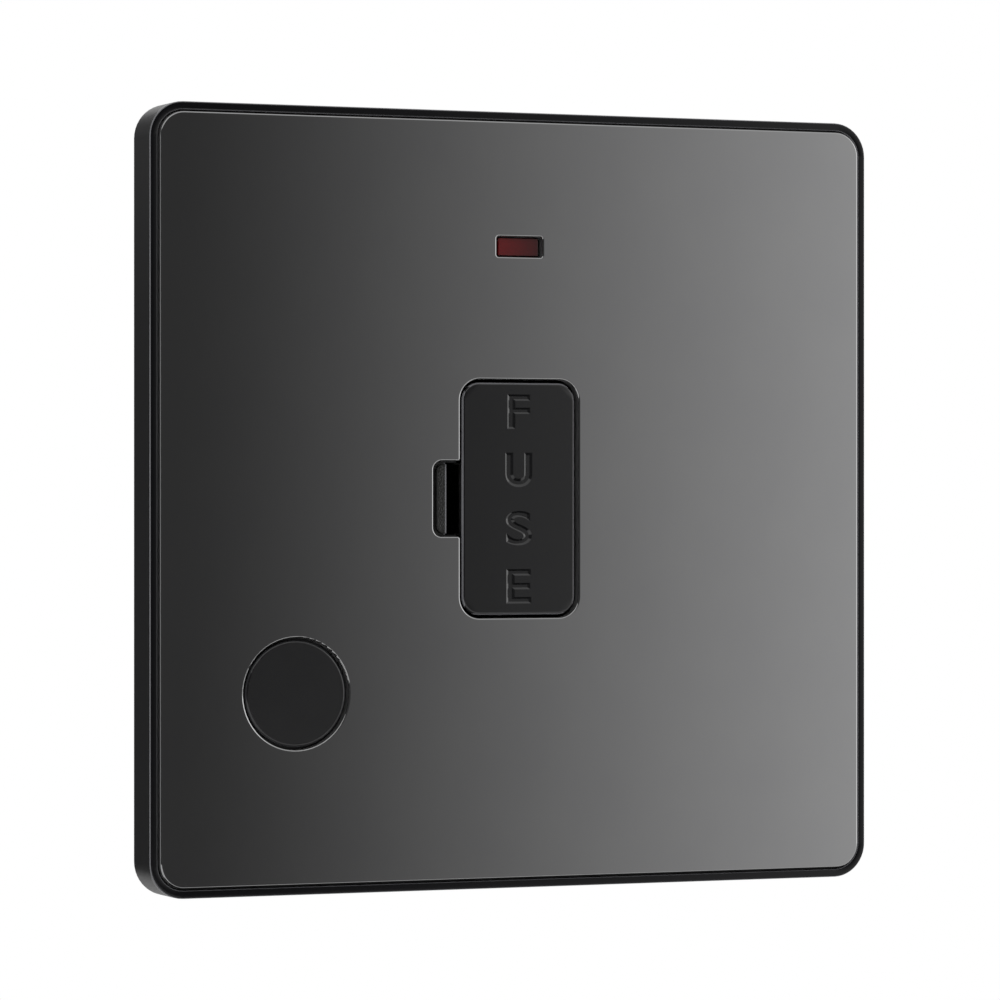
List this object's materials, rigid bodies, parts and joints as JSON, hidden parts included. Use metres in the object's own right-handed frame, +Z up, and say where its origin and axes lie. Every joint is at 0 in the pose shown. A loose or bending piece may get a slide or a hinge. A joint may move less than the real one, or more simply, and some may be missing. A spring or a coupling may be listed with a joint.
{
  "type": "fused connection unit",
  "caption": "Flush wall unit for one fused appliance circuit: clip-on black metal plate, pull-out fuse drawer, red indicator window and a plugged flex outlet.",
  "frame": {"origin": "midway between the two fixing holes, on the wall plane that the surround's back rim meets", "axes": "+Z up, the front faces -Y, +X to the right seen from the front"},
  "size_m": [0.095, 0.0254, 0.095],
  "materials": {
    "surround_plastic": "gloss black",
    "base_plastic": "matt black",
    "fitting_plastic": "satin black",
    "zinc_steel": "zinc plated",
    "zinc_screw": "zinc plated",
    "spring_steel": "spring steel",
    "phosphor_bronze": "rolled bronze",
    "brass": "extruded brass",
    "brass_screw": "turned brass",
    "red_lens": "clear red",
    "lamp_glass": "clear glass",
    "tinned_wire": "tinned",
    "resistor_body": "lacquered",
    "fuse_ceramic": "fired ceramic",
    "nickel_cap": "nickel plated",
    "black_nickel": "polished black nickel"
  },
  "bodies": {
    "base": {"mounting_frame": "surround_plastic", "base_moulding": "base_plastic", "mounting_strap": "zinc_steel", "earth_spring": "phosphor_bronze", "supply_live_contact": "phosphor_bronze", "load_live_contact": "phosphor_bronze", "neutral_link": "brass", "supply_live_terminal": "brass", "load_live_terminal": "brass", "supply_neutral_terminal": "brass", "load_neutral_terminal": "brass", "earth_terminal": "brass", "terminal_screws": "brass_screw", "assembly_screws": "zinc_screw", "indicator_lens": "red_lens", "neon_lamp": "lamp_glass", "lamp_leads": "tinned_wire", "ballast_resistor": "resistor_body", "flex_outlet_plug": "fitting_plastic", "cord_grip_bar": "base_plastic", "cord_grip_screws": "zinc_screw"},
    "drawer": {"fuse_carrier": "fitting_plastic", "fuse_tube": "fuse_ceramic", "fuse_cap_upper": "nickel_cap", "fuse_cap_lower": "nickel_cap"},
    "cover": {"front_plate": "black_nickel", "plate_clips": "spring_steel"}
  },
  "joints": [
    {"name": "drawer_slide", "type": "slide", "parent": "base", "child": "drawer", "axis": [0, -1, 0], "range_m": [0, 0.012]},
    {"name": "cover_lift", "type": "slide", "parent": "base", "child": "cover", "axis": [0, -1, 0], "range_m": [0, 0.03]}
  ]
}
